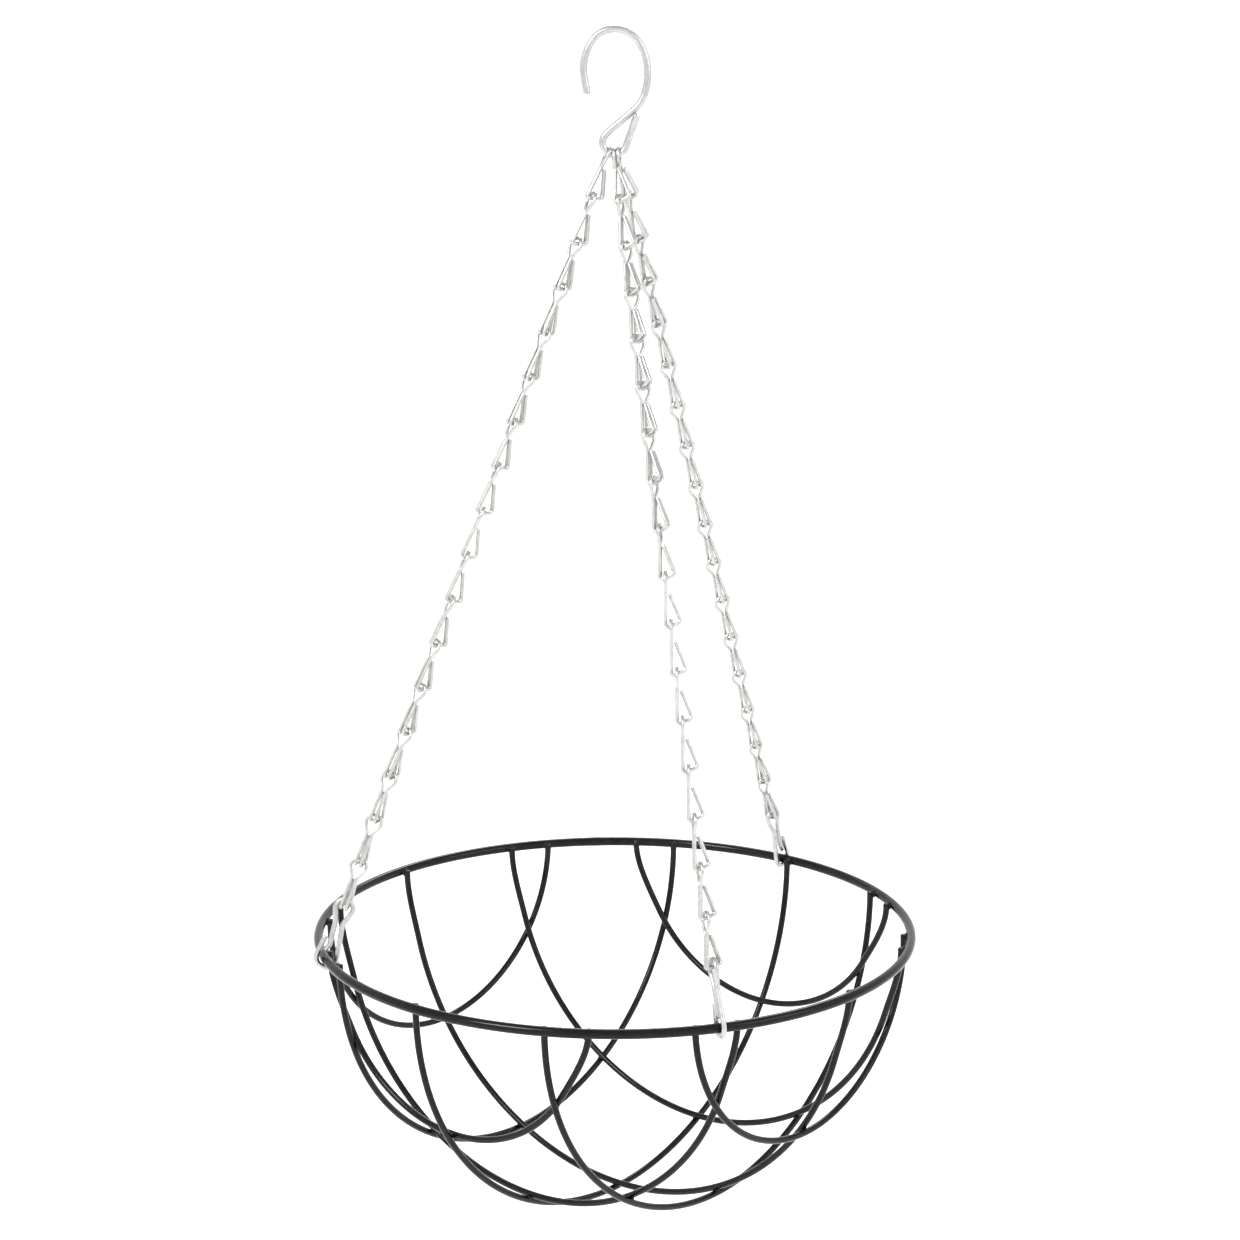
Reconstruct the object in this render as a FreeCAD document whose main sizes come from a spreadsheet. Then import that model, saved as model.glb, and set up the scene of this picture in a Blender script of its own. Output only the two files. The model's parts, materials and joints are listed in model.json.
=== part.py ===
"""Wire hanging basket on three chains: a parametric FreeCAD document.

Every piece is a bent round wire.  The hook hangs from a bracket, three chains of
folded wire links hang in the hook's eye, and a spring clip at the foot of each
chain holds the rim of a welded basket frame.

Frame: millimetres, +Z up, origin inside the top of the hook, where it rests on
its bracket.  The hook lies in the XZ plane, with its open side towards -X.
"""
import FreeCAD
import Part
import math
import os

from FreeCAD import Placement, Rotation, Vector

# alias: (value, what it is); lengths in millimetres, angles in degrees
DIMENSIONS = {
    "rim_outer_diameter": (350.0, "outside of the rim ring"),
    "rim_wire": (5.5, "rim wire diameter"),
    "hoop_wire": (3.8, "hoop wire diameter"),
    "bowl_depth": (161.9, "rim centre plane to the outer layer's lowest centreline"),
    "weld_sink": (0.3, "how far two welded wires sink into each other"),
    "middle_hoop_offset": (76.5, "basket axis to the plane of a middle hoop"),
    "side_hoop_offset": (137.0, "basket axis to the plane of a side hoop, at the rim"),
    "side_hoop_lean": (1.9, "outward lean of a side hoop's plane"),
    "hoop_direction": (140.0, "direction that the first layer's hoops face"),
    "flare_height": (42.0, "height over which the inner layer's ends flare out"),
    "hoop_end_rise": (1.0, "height of a hoop's cut end above the rim's centre plane"),
    "hook_wire": (4.0, "hook wire diameter"),
    "hook_eye_radius": (6.6, "centreline radius of the eye's bottom bend"),
    "hook_eye_bottom": (66.0, "origin down to the eye's lowest centreline"),
    "hook_eye_slack": (0.35, "play between a first link's ring and the eye"),
    "link_wire": (2.0, "chain link wire diameter"),
    "link_pitch": (26.3, "distance from one link to the next along a taut chain"),
    "link_ring_radius": (4.5, "centreline radius of a link's ring"),
    "link_rail_spacing": (3.2, "centreline distance between a link's two base wires"),
    "link_neck_spacing": (2.8, "centreline distance between the two wires at the neck"),
    "link_neck_drop": (11.2, "top of the ring's centreline down to the neck"),
    "link_fold_depth": (8.3, "length of the fold at a link's base"),
    "link_fold_rise": (3.6, "height that the fold gains along its length"),
    "link_seat": (3.0, "a link's rails to the ring that hangs on its base"),
    "link_slack": (0.8, "play between a link and the one it hangs in"),
    "links_per_chain": (17.0, "number of links in each chain"),
    "clip_wire": (3.0, "clip wire diameter"),
    "clip_ring_radius": (5.0, "centreline radius of a clip's ring"),
    "clip_length": (36.4, "top of a clip's ring down to the rim's centre"),
    "clip_seat": (3.5, "the last link's rails to the clip ring on its base"),
    "clip_ring_play": (0.4, "further play between a clip's ring and the last link"),
    "clip_seat_play": (0.15, "play between the rim and the bottom of a clip"),
    "clip_arm_spacing": (12.8, "centreline distance between a clip's arms, at the rim"),
    "clip_neck_spacing": (4.2, "centreline distance between the two wires at the neck"),
}

# Where each chain meets the rim (degrees round +Z from +X), which way round its
# clip goes on the rim and how far the clip is swivelled about the chain, its place
# round the hook's eye (degrees from its bottom towards +X), and how far its links
# are turned about the chain at a few of them: 0 folds towards +X, 90 towards +Y.
CHAINS = {
    "left": {"rim_angle": 198.5, "flipped": False, "swivel": -20.0, "eye_place": -31.0,
             "turns": {1: 10, 4: 52, 9: 5, 17: 80}},
    "front": {"rim_angle": 288.8, "flipped": True, "swivel": 0.0, "eye_place": 6.0,
              "turns": {1: -10, 4: -52, 6: -50, 10: -4, 14: 2, 17: 20}},
    "right": {"rim_angle": 52.5, "flipped": False, "swivel": 0.0, "eye_place": 25.0,
              "turns": {1: -8, 6: -60, 14: -62, 17: -42}},
}

doc = FreeCAD.newDocument("hanging_basket")


# ---------------------------------------------------------------- driving sheet

def make_sheet():
    """Put each driving dimension in a cell of its own, under its alias."""
    cells = doc.addObject("Spreadsheet::Sheet", "Dimensions")
    for row, (alias, (value, meaning)) in enumerate(DIMENSIONS.items(), start=1):
        cells.set(f"A{row}", meaning)
        cells.set(f"B{row}", str(value))
        cells.setAlias(f"B{row}", alias)
    doc.recompute()
    return cells


sheet = make_sheet()


def size(alias):
    """Read one driving dimension back from the sheet."""
    return float(sheet.get(alias))


# ------------------------------------------------------------ sizes worked from it

rim_radius = (size("rim_outer_diameter") - size("rim_wire")) / 2
hoop_radius = rim_radius - (size("rim_wire") + size("hoop_wire")) / 2 + size("weld_sink")
layer_step = size("hoop_wire") - size("weld_sink")

# A link's two base wires wedge in the round ring below them.  This is how far
# their centres then lie below the top of that ring's centreline.
link_wire_radius = size("link_wire") / 2
half_rails = size("link_rail_spacing") / 2


def depth_in_ring(ring_radius, ring_wire):
    """Distance from the top of a ring's centreline down to the wires held in it."""
    room = ring_radius - ring_wire / 2 - link_wire_radius
    return ring_radius - math.sqrt(room ** 2 - half_rails ** 2) + size("link_slack")


# A ring hangs beside the rails, not between them, so each link leans a little
# to bring the top of the next ring back to the chain's line.
link_lean = math.degrees(math.asin(size("link_seat") / size("link_pitch")))
next_ring_drop = size("link_pitch") * math.cos(math.radians(link_lean))
base_slope = size("link_fold_rise") / size("link_fold_depth")
base_rise_at_seat = base_slope * size("link_seat")
link_base_drop = next_ring_drop + base_rise_at_seat + depth_in_ring(
    size("link_ring_radius"), size("link_wire"))
link_count = int(size("links_per_chain"))
clip_seat_shift = (depth_in_ring(size("clip_ring_radius"), size("clip_wire"))
                   - depth_in_ring(size("link_ring_radius"), size("link_wire"))
                   + base_slope * (size("clip_seat") - size("link_seat"))
                   + size("clip_ring_play"))
chain_reach = size("link_pitch") * link_count - clip_seat_shift + size("clip_length")

eye_centre = Vector(0, 0, size("hook_eye_radius") - size("hook_eye_bottom"))
ring_over_eye = size("hook_wire") / 2 + link_wire_radius + size("hook_eye_slack")


def eye_point(place):
    """Point on the centreline of the hook's eye where a chain hangs."""
    angle = math.radians(place)
    across = Vector(math.sin(angle), 0, -math.cos(angle))
    return eye_centre + across * size("hook_eye_radius")


# The chain at the bottom of the eye sets the height of the rim.
rim_height = eye_point(0).z - math.sqrt(
    (chain_reach - ring_over_eye) ** 2 - rim_radius ** 2)


# ---------------------------------------------------------------- route building

def tangent_arc(start, corner, end):
    """Arc from start to end whose end tangents meet at the corner."""
    middle = (start + end) * 0.5
    weight = (end - start).Length / 2 / (corner - start).Length
    on_arc = (middle + corner * weight) * (1 / (1 + weight))
    return Part.Arc(start, on_arc, end).toShape()


def straight(start, end):
    """Straight edge, or nothing where the two points coincide."""
    if (end - start).Length < 1e-6:
        return []
    return [Part.LineSegment(start, end).toShape()]


def rounded_route(corners, radii):
    """Straight runs through the corners, each inner corner rounded to its radius."""
    edges = []
    reached = corners[0]
    for before, corner, after, radius in zip(corners, corners[1:], corners[2:], radii):
        arriving = (corner - before).normalize()
        leaving = (after - corner).normalize()
        half_turn = arriving.getAngle(leaving) / 2
        cut = radius * math.tan(half_turn)
        arc_start = corner - arriving * cut
        arc_end = corner + leaving * cut
        edges += straight(reached, arc_start)
        edges.append(tangent_arc(arc_start, corner, arc_end))
        reached = arc_end
    return edges + straight(reached, corners[-1])


def curve_between(start, start_way, end, end_way):
    """Two tangent arcs, or one straight run, from one point and direction to another."""
    chord = end - start
    if start_way.getAngle(chord) < 1e-4 and end_way.getAngle(chord) < 1e-4:
        return straight(start, end)
    ways = start_way + end_way
    spread = 2 * (1 - start_way.dot(end_way))
    along = chord.dot(ways)
    if spread < 1e-9:
        reach = chord.dot(chord) / (4 * chord.dot(end_way))
    else:
        reach = (math.sqrt(along ** 2 + spread * chord.dot(chord)) - along) / spread
    first_corner = start + start_way * reach
    second_corner = end - end_way * reach
    joint = (first_corner + second_corner) * 0.5
    return [tangent_arc(start, first_corner, joint),
            tangent_arc(joint, second_corner, end)]


def flowing_route(stations):
    """Tangent arcs through stations, each a point and the direction of travel there."""
    edges = []
    for (start, start_way), (end, end_way) in zip(stations, stations[1:]):
        edges += curve_between(start, start_way, end, end_way)
    return edges


def ring_with_neck(neck, ring_centre, ring_radius):
    """Tangent point on the neck's side of an upright ring that opens downwards."""
    apart = neck - ring_centre
    lean = math.atan2(apart.x, -apart.z)
    half_opening = lean + math.acos(ring_radius / apart.Length)
    return ring_centre + Vector(math.sin(half_opening), 0, -math.cos(half_opening)) * ring_radius


def mirrored(point):
    """The same point on the other side of the YZ plane."""
    return Vector(-point.x, point.y, point.z)


# ---------------------------------------------------------------- bent wire

def bent_wire(name, edges, wire_alias):
    """Sweep a round wire, sized by a sheet cell, along a route of edges."""
    route = doc.addObject("Part::Feature", name + "_route")
    route.Shape = Part.Wire(edges)
    first = route.Shape.OrderedEdges[0]
    start = first.valueAt(first.FirstParameter)
    way = first.tangentAt(first.FirstParameter)
    section = doc.addObject("Part::Circle", name + "_section")
    section.setExpression("Radius", f"Dimensions.{wire_alias} / 2")
    section.Placement = Placement(start, Rotation(Vector(0, 0, 1), way))
    sweep = doc.addObject("Part::Sweep", name)
    sweep.Sections = [section]
    sweep.Spine = (route, [f"Edge{n + 1}" for n in range(len(route.Shape.Edges))])
    sweep.Solid = True
    sweep.Frenet = False
    return sweep


nodes = {}


def add_node(label, source_pieces, placement=None):
    """One named node made of one or more finished pieces, placed as a group."""
    group = doc.addObject("Part::Compound", label)
    group.Label = label
    group.Links = source_pieces
    if placement:
        group.Placement = placement
    nodes[label] = group
    return group


def moved_copy(name, source, placement):
    """A placed copy that keeps following its source piece."""
    copy = doc.addObject("Part::Compound", name)
    copy.Links = [source]
    copy.Placement = placement
    return copy


# ---------------------------------------------------------------- hook

def make_hook():
    """Open crook, a diagonal neck and a teardrop eye whose tail ends beside the neck."""
    eye_radius = size("hook_eye_radius")
    wire_radius = size("hook_wire") / 2
    tail_angle = 70.8
    tail_length = 18.8
    tail_step = Vector(0, -3.4, 0)
    turn = math.radians(tail_angle)
    eye_exit = eye_centre + Vector(math.sin(turn), 0, -math.cos(turn)) * eye_radius
    tail_way = Vector(math.cos(turn), 0, math.sin(turn))
    eye_left = eye_centre - Vector(eye_radius, 0, 0)
    eye_bottom = eye_centre - Vector(0, 0, eye_radius)
    # point of the centreline and the direction of travel there, in the XZ plane
    keys = [
        (Vector(-15.0, 0, -33.0), 98.0),
        (Vector(-16.9, 0, -19.0), 90.0),
        (Vector(0, 0, wire_radius), 0.0),
        (Vector(18.2, 0, -21.5), -90.0),
        (Vector(10.2, 0, -42.1), -140.6),
        (Vector(-0.5, 0, -50.9), -140.6),
        (eye_left, -90.0),
        (eye_bottom, 0.0),
        (eye_exit, tail_angle),
    ]
    stations = []
    for point, angle in keys:
        way = math.radians(angle)
        stations.append((point, Vector(math.cos(way), 0, math.sin(way))))
    tail_end = eye_exit + tail_way * tail_length + tail_step
    stations.append((tail_end, (tail_way * tail_length + tail_step * 2).normalize()))
    hook = bent_wire("hook_wire_piece", flowing_route(stations), "hook_wire")
    add_node("hanging_hook", [hook])


# ---------------------------------------------------------------- chains

def make_link_piece():
    """One link: a ring above, two rails below it and a fold that returns to the neck.

    Local frame: +Z up the chain, the ring in the XZ plane with the top of its
    centreline at the origin, and the fold towards +Y.
    """
    ring_radius = size("link_ring_radius")
    ring_centre = Vector(0, 0, -ring_radius)
    half_neck = size("link_neck_spacing") / 2
    neck = Vector(half_neck, 0, -size("link_neck_drop"))
    on_ring = ring_with_neck(neck, ring_centre, ring_radius)
    fold_depth = size("link_fold_depth")
    front_corner = Vector(half_rails, 0, -link_base_drop)
    back_corner = front_corner + Vector(0, fold_depth, size("link_fold_rise"))
    wire_end = Vector(half_neck - 0.3, 2.2, neck.z - 0.8)
    side = [wire_end, back_corner, front_corner, neck, on_ring]
    radii = [1.9, 1.5, 4.0]
    first_half = rounded_route(side, radii)
    second_half = rounded_route([mirrored(point) for point in reversed(side)],
                                list(reversed(radii)))
    loop = Part.Arc(on_ring, Vector(0, 0, 0), mirrored(on_ring)).toShape()
    return bent_wire("link_piece", first_half + [loop] + second_half, "link_wire")


def eased_turn(turns, index):
    """Turn of one link, flowing smoothly between the links that are stated."""
    known = sorted(turns)
    for low, high in zip(known, known[1:]):
        if low <= index <= high:
            share = (index - low) / (high - low)
            smooth = (share + share * share * (3 - 2 * share)) / 2
            return turns[low] + (turns[high] - turns[low]) * smooth
    return turns[known[-1]]


def chain_line(chain):
    """Top of a chain's first ring, the direction up the chain, and its foot."""
    angle = math.radians(chain["rim_angle"])
    foot = Vector(rim_radius * math.cos(angle), rim_radius * math.sin(angle), rim_height)
    held_at = eye_point(chain["eye_place"])
    up = (held_at - foot).normalize()
    return held_at + up * ring_over_eye, up, foot


def chain_step(chain):
    """Distance from one link to the next, so that the chain just reaches its clip."""
    top, up, foot = chain_line(chain)
    return ((top - foot).Length - size("clip_length") + clip_seat_shift) / link_count


def frame_from(first_axis, second_axis, third_axis, origin):
    """Placement whose local axes point along three given directions."""
    matrix = FreeCAD.Matrix(
        first_axis.x, second_axis.x, third_axis.x, origin.x,
        first_axis.y, second_axis.y, third_axis.y, origin.y,
        first_axis.z, second_axis.z, third_axis.z, origin.z,
        0, 0, 0, 1)
    return Placement(matrix)


def link_placement(chain, index):
    """Place of a link, counted from 1 at the hook, turned about its chain."""
    top, up, foot = chain_line(chain)
    right = Vector(1, 0, 0)
    level_fold = (right - up * right.dot(up)).normalize()
    turn = math.radians(eased_turn(chain["turns"], index))
    fold = level_fold * math.cos(turn) + up.cross(level_fold) * math.sin(turn)
    origin = top - up * (chain_step(chain) * (index - 1))
    upright = frame_from(fold.cross(up), fold, up, origin)
    return upright * Placement(Vector(), Rotation(Vector(1, 0, 0), -link_lean))


def make_chains():
    """The three first links as one node, and a node for every other link."""
    link = make_link_piece()
    first_links = []
    for side, chain in CHAINS.items():
        first_links.append(moved_copy(f"{side}_link_01", link, link_placement(chain, 1)))
    add_node("top_links", first_links)
    for side, chain in CHAINS.items():
        for index in range(2, link_count + 1):
            add_node(f"{side}_link_{index:02d}", [link], link_placement(chain, index))


# ---------------------------------------------------------------- rim clips

def make_clip_piece():
    """One clip, bent flat: ring, narrow neck, an arm round the rim and a latch arm.

    Local frame: +Z up the chain with the top of the ring's centreline at the
    origin, and the latch on the +X side.
    """
    ring_radius = size("clip_ring_radius")
    ring_centre = Vector(0, 0, -ring_radius)
    half_neck = size("clip_neck_spacing") / 2
    neck = Vector(half_neck, 0, -14.6)
    on_ring = ring_with_neck(neck, ring_centre, ring_radius)
    rim_centre = -size("clip_length")
    wire_radius = size("clip_wire") / 2
    half_arms = size("clip_arm_spacing") / 2
    floor = rim_centre - size("rim_wire") / 2 - wire_radius - size("clip_seat_play")
    tongue_tip = Vector(4.8, 0, rim_centre + 13.0)
    outer_corner = Vector(half_arms + 0.5, 0, floor)
    inner_corner = Vector(-half_arms - 0.3, 0, floor)
    arm = [tongue_tip, outer_corner, inner_corner, mirrored(neck), mirrored(on_ring)]
    latch = [on_ring, neck, Vector(1.0, 0, rim_centre + 9.0), Vector(2.3, 0, rim_centre + 5.2)]
    loop = Part.Arc(mirrored(on_ring), Vector(0, 0, 0), on_ring).toShape()
    route = rounded_route(arm, [5.6, 5.6, 5.0]) + [loop] + rounded_route(latch, [5.0, 2.6])
    return bent_wire("clip_piece", route, "clip_wire")


def make_clips():
    """A clip at the foot of each chain, with its latch out or turned round."""
    clip = make_clip_piece()
    for side, chain in CHAINS.items():
        top, up, foot = chain_line(chain)
        angle = math.radians(chain["rim_angle"] + chain["swivel"])
        radial = Vector(math.cos(angle), math.sin(angle), 0)
        out = (radial - up * radial.dot(up)).normalize()
        if chain["flipped"]:
            out = out * -1
        last_link = link_placement(chain, link_count)
        beside = last_link.Rotation.multVec(Vector(0, 1, 0))
        seat_step = size("clip_seat") - size("link_seat")
        origin = foot + up * size("clip_length") + beside * seat_step
        placement = frame_from(out, up.cross(out), up, origin)
        add_node(f"{side}_clip", [clip], placement)


# ---------------------------------------------------------------- basket frame

def make_rim():
    """The rim ring: one round wire butt-welded into a circle."""
    ring = doc.addObject("Part::Torus", "rim_piece")
    ring.setExpression("Radius1",
                       "(Dimensions.rim_outer_diameter - Dimensions.rim_wire) / 2")
    ring.setExpression("Radius2", "Dimensions.rim_wire / 2")
    add_node("rim_ring", [ring], Placement(Vector(0, 0, rim_height), Rotation()))


def reach_down(offset, lean, radius, depth):
    """How far down a leaning plane, from its line at the rim, the bowl lies."""
    across = math.sin(math.radians(lean))
    down = math.cos(math.radians(lean))
    square = (across / radius) ** 2 + (down / depth) ** 2
    middle = offset * across / radius ** 2
    rest = 1 - (offset / radius) ** 2
    return (math.sqrt(middle ** 2 + square * rest) - middle) / square


def hoop_stations(offset, lean, inner_layer):
    """Stations along a hoop that lies on the bowl's outer or inner layer.

    The bowl is half a spheroid.  A hoop of the inner layer lies one wire inside
    it and flares back out to the rim near each end.
    """
    inset = layer_step if inner_layer else 0.0
    radius = hoop_radius - inset
    at_rim = math.sqrt(hoop_radius ** 2 - offset ** 2)
    half_width = math.sqrt(radius ** 2 - offset ** 2)
    depth = reach_down(offset, lean, radius, size("bowl_depth") - inset)
    flare = at_rim - half_width

    def point(angle):
        below = depth * math.sin(angle)
        share = max(0.0, 1 - below / size("flare_height"))
        wide = half_width + flare * share * share * (3 - 2 * share)
        return Vector(0, wide * math.cos(angle), -below)

    spans = 14
    rise = Vector(0, 0, size("hoop_end_rise"))
    up = Vector(0, 0, 1)
    stations = [(point(0) + rise, -up), (point(0), -up)]
    for step in range(1, spans):
        angle = math.pi * step / spans
        small = 1e-4
        way = (point(angle + small) - point(angle - small)).normalize()
        stations.append((point(angle), way))
    return stations + [(point(math.pi), up), (point(math.pi) + rise, up)]


def make_hoops():
    """Two crossing layers of parallel hoops, each a centre, two middle, two side."""
    families = [
        ("centre_hoop", 0.0, 0.0, [0]),
        ("middle_hoops", size("middle_hoop_offset"), 0.0, [0, 180]),
        ("side_hoops", size("side_hoop_offset"), size("side_hoop_lean"), [0, 180]),
    ]
    for layer, inner_layer in ((1, False), (2, True)):
        for family, offset, lean, facings in families:
            stations = hoop_stations(offset, lean, inner_layer)
            piece = bent_wire(f"{family}_{layer}_piece", flowing_route(stations), "hoop_wire")
            stand = Placement(Vector(offset, 0, 0), Rotation(Vector(0, 1, 0), -lean))
            hoops = []
            for facing in facings:
                direction = size("hoop_direction") + 90 * (layer - 1) + facing
                swing = Placement(Vector(0, 0, rim_height),
                                  Rotation(Vector(0, 0, 1), direction))
                name = f"{family}_{layer}_facing_{facing}"
                hoops.append(moved_copy(name, piece, swing * stand))
            add_node(f"{family}_{layer}", hoops)


# ---------------------------------------------------------------- build and export

def check_document():
    """Stop if any object failed or any node's shape is missing or invalid."""
    for item in doc.Objects:
        if "Invalid" in item.State or "Error" in item.State:
            raise RuntimeError(f"{item.Label} did not recompute: {item.State}")
    for label, node in nodes.items():
        if node.Shape.isNull() or not node.Shape.isValid():
            raise RuntimeError(f"{label} has no valid shape")


def check_wire_volumes():
    """Compare each swept wire's volume with its section times its route."""
    for item in doc.Objects:
        if item.TypeId != "Part::Sweep":
            continue
        radius = float(item.Sections[0].Radius)
        expected = math.pi * radius ** 2 * item.Spine[0].Shape.Length
        error = abs(item.Shape.Volume / expected - 1)
        print(f"{item.Name}: {item.Shape.Volume:.1f} mm3, off by {100 * error:.3f} %")
        if error > 0.01:
            raise RuntimeError(f"{item.Name} is not one clean wire")


make_hook()
make_chains()
make_clips()
make_rim()
make_hoops()
doc.recompute()
check_document()
check_wire_volumes()

os.makedirs("parts", exist_ok=True)
for label, node in nodes.items():
    node.Shape.exportStep(f"parts/{label}.step")
print(f"{len(nodes)} nodes, rim centre plane at z = {rim_height:.2f}")
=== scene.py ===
"""The hanging basket's looks: smooth wire meshes, weld beads, materials, floor and light.

Metres, +Z up, the same frame as the CAD part: the origin is inside the hook's crook.
"""
import bpy
import json
import math
import random
from mathutils import Matrix, Vector


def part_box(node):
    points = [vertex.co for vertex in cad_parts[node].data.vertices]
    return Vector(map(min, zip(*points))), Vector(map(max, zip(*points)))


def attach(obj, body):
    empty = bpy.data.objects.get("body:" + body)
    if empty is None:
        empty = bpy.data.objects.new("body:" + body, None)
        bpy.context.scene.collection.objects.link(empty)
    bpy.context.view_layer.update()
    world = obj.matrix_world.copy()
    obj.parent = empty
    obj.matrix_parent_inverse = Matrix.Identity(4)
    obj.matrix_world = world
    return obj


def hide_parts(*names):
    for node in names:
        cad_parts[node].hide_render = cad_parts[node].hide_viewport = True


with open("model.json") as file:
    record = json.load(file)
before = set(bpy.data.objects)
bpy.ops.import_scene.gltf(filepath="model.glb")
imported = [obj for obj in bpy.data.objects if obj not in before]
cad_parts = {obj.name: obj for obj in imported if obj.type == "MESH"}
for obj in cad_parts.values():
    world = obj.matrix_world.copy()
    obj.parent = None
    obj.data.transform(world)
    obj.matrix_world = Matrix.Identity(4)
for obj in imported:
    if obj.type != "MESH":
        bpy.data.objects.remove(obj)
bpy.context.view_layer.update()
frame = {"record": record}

random.seed(4)
MM = 0.001
X_AXIS = Vector((1, 0, 0))
Z_AXIS = Vector((0, 0, 1))

JOINTS = {joint["name"]: joint for joint in frame["record"]["behaviour"]["joints"]}

# ------------------------------------------------------------------ sizes

HOOK_WIRE = 4.0 * MM
HOOK_EYE_RADIUS = 6.6 * MM
HOOK_EYE_BOTTOM = 66.0 * MM
HOOK_TAIL_ANGLE = 70.8
HOOK_TAIL_LENGTH = 18.8 * MM
HOOK_TAIL_STEP = 3.4 * MM
LINK_WIRE = 2.0 * MM
LINK_RING_RADIUS = 4.5 * MM
LINK_RAIL_SPACING = 3.2 * MM
LINK_NECK_SPACING = 2.8 * MM
LINK_NECK_DROP = 11.2 * MM
LINK_PITCH = 26.3 * MM
LINK_SEAT = 3.0 * MM
LINK_SLACK = 0.8 * MM
LINK_FOLD_DEPTH = 8.3 * MM
LINK_FOLD_RISE = 3.6 * MM
LINK_END_INSET = 0.3 * MM
LINK_END_DEPTH = 2.2 * MM
LINK_END_DROP = 0.8 * MM
LINK_BENDS = [1.9 * MM, 1.5 * MM, 4.0 * MM]
CLIP_WIRE = 3.0 * MM
CLIP_RING_RADIUS = 5.0 * MM
CLIP_LENGTH = 36.4 * MM
CLIP_SEAT = 3.5 * MM
CLIP_SEAT_PLAY = 0.15 * MM
CLIP_ARM_SPACING = 12.8 * MM
CLIP_NECK_SPACING = 4.2 * MM
CLIP_NECK_DROP = 14.6 * MM
CLIP_ARM_BENDS = [5.6 * MM, 5.6 * MM, 5.0 * MM]
CLIP_LATCH_BENDS = [5.0 * MM, 2.6 * MM]
RIM_WIRE = 5.5 * MM
RIM_DIAMETER = 350.0 * MM
RIM_RADIUS = (RIM_DIAMETER - RIM_WIRE) / 2
RIM_SEAM_PLACE = 0.262
RIM_SEAM_SWELL = 0.05
RIM_SEAM_LENGTH = 3.0 * MM
HOOP_WIRE = 3.8 * MM
WELD_SINK = 0.3 * MM
BOWL_DEPTH = 161.9 * MM
MIDDLE_OFFSET = 76.5 * MM
SIDE_OFFSET = 137.0 * MM
SIDE_LEAN = 1.9
HOOP_DIRECTION = 140.0
FLARE_HEIGHT = 42.0 * MM
HOOP_END_RISE = 1.0 * MM
HOOP_END_SWELL = 0.07
HOOP_SWELL_LENGTH = 3.5 * MM
LINKS_PER_CHAIN = 17

# Angles are in degrees. Turns are given at a few links, counted from 1 at the hook.
CHAINS = {
    "left": {"rim_angle": 198.5, "flipped": False, "swivel": -20.0,
             "turns": {1: 10, 4: 52, 9: 5, 17: 80}},
    "front": {"rim_angle": 288.8, "flipped": True, "swivel": 0.0,
              "turns": {1: -10, 4: -52, 6: -50, 10: -4, 14: 2, 17: 20}},
    "right": {"rim_angle": 52.5, "flipped": False, "swivel": 0.0,
              "turns": {1: -8, 6: -60, 14: -62, 17: -42}},
}

rim_low, rim_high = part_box("rim_ring")
RIM_HEIGHT = (rim_low.z + rim_high.z) / 2
HOOP_RADIUS = RIM_RADIUS - (RIM_WIRE + HOOP_WIRE) / 2 + WELD_SINK
LAYER_STEP = HOOP_WIRE - WELD_SINK
HALF_RAILS = LINK_RAIL_SPACING / 2

# How far the wires held in a link's ring lie below the top of the ring's centreline.
LINK_RING_ROOM = LINK_RING_RADIUS - LINK_WIRE
LINK_HELD_DEPTH = (LINK_RING_RADIUS - math.sqrt(LINK_RING_ROOM ** 2 - HALF_RAILS ** 2)
                   + LINK_SLACK)
LINK_LEAN = math.asin(LINK_SEAT / LINK_PITCH)
LINK_BASE_DROP = (LINK_PITCH * math.cos(LINK_LEAN)
                  + LINK_FOLD_RISE * LINK_SEAT / LINK_FOLD_DEPTH
                  + LINK_HELD_DEPTH)

# ------------------------------------------------------------------ centrelines

SMOOTH_STEP = math.radians(4.0)
STRAIGHT_TURN = 1e-5


def arc_points(start, corner, end):
    """Points along the arc from start to end whose tangents meet at the corner."""
    arriving = (corner - start).normalized()
    leaving = (end - corner).normalized()
    turn = arriving.angle(leaving)
    if turn < STRAIGHT_TURN:
        return [end]
    reach = (corner - start).length
    radius = reach / math.tan(turn / 2)
    normal = (leaving - arriving * leaving.dot(arriving)).normalized()
    count = max(2, math.ceil(turn / SMOOTH_STEP))
    points = []
    for step in range(1, count + 1):
        angle = turn * step / count
        points.append(start + arriving * (radius * math.sin(angle))
                      + normal * (radius * (1 - math.cos(angle))))
    return points


def rounded_points(corners, radii):
    """Straight runs through the corners, each inner corner rounded to its radius."""
    points = [corners[0]]
    for before, corner, after, radius in zip(corners, corners[1:], corners[2:], radii):
        arriving = (corner - before).normalized()
        leaving = (after - corner).normalized()
        cut = radius * math.tan(arriving.angle(leaving) / 2)
        arc_start = corner - arriving * cut
        points.append(arc_start)
        points += arc_points(arc_start, corner, corner + leaving * cut)
    return points + [corners[-1]]


def curve_points(start, start_way, end, end_way):
    """Two tangent arcs, or one straight run, from one point and direction to another."""
    chord = end - start
    if max(start_way.angle(chord), end_way.angle(chord)) < 1e-4:
        return [end]
    ways = start_way + end_way
    spread = 2 * (1 - start_way.dot(end_way))
    along = chord.dot(ways)
    if spread < 1e-9:
        reach = chord.dot(chord) / (4 * chord.dot(end_way))
    else:
        reach = (math.sqrt(along ** 2 + spread * chord.dot(chord)) - along) / spread
    first_corner = start + start_way * reach
    second_corner = end - end_way * reach
    joint = (first_corner + second_corner) / 2
    return (arc_points(start, first_corner, joint)
            + arc_points(joint, second_corner, end))


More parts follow.
